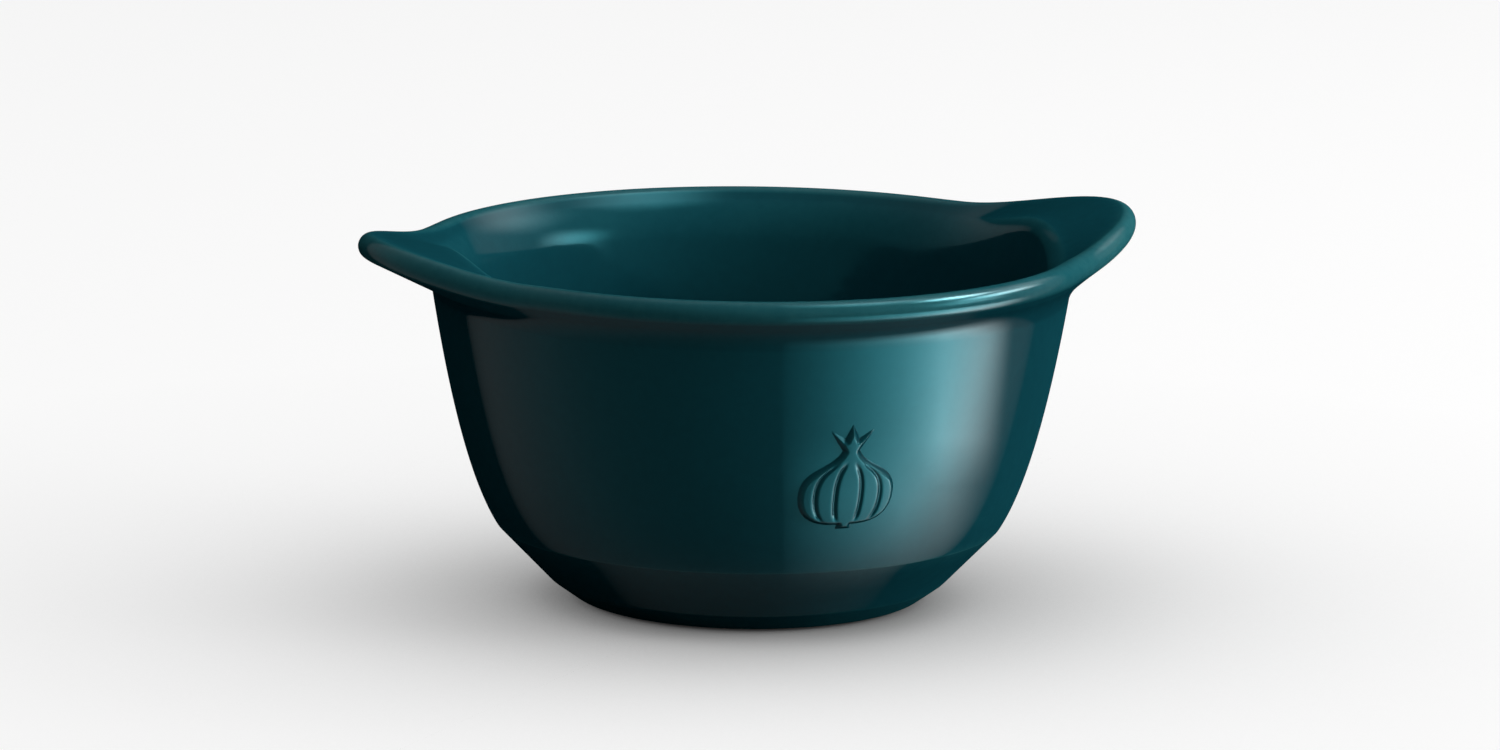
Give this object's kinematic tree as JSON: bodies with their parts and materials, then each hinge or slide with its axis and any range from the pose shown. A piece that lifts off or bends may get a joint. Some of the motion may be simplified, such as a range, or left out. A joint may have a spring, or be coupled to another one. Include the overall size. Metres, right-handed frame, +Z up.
{
  "type": "soup crock",
  "caption": "Round glazed stoneware soup crock with a flared lip, lug handles drawn out of the lip, a creased lower wall, a small onion in relief and a bare clay foot ring.",
  "frame": {"origin": "on the table under the middle of the bowl, at the foot ring's resting face", "axes": "+X through the right handle, -Y to the front with the onion in relief, +Z up out of the mouth"},
  "size_m": [0.1668, 0.14, 0.0793],
  "materials": {
    "teal_glaze": "deep teal gloss glaze, a little thinner and lighter on the edges",
    "bare_clay": "unglazed fired clay, matt and slightly gritty"
  },
  "bodies": {
    "root": {"bowl_body": "teal_glaze", "foot_ring": "bare_clay", "front_rim": "teal_glaze", "rear_rim": "teal_glaze", "left_handle": "teal_glaze", "right_handle": "teal_glaze", "onion_sprig": "teal_glaze"}
  },
  "joints": []
}
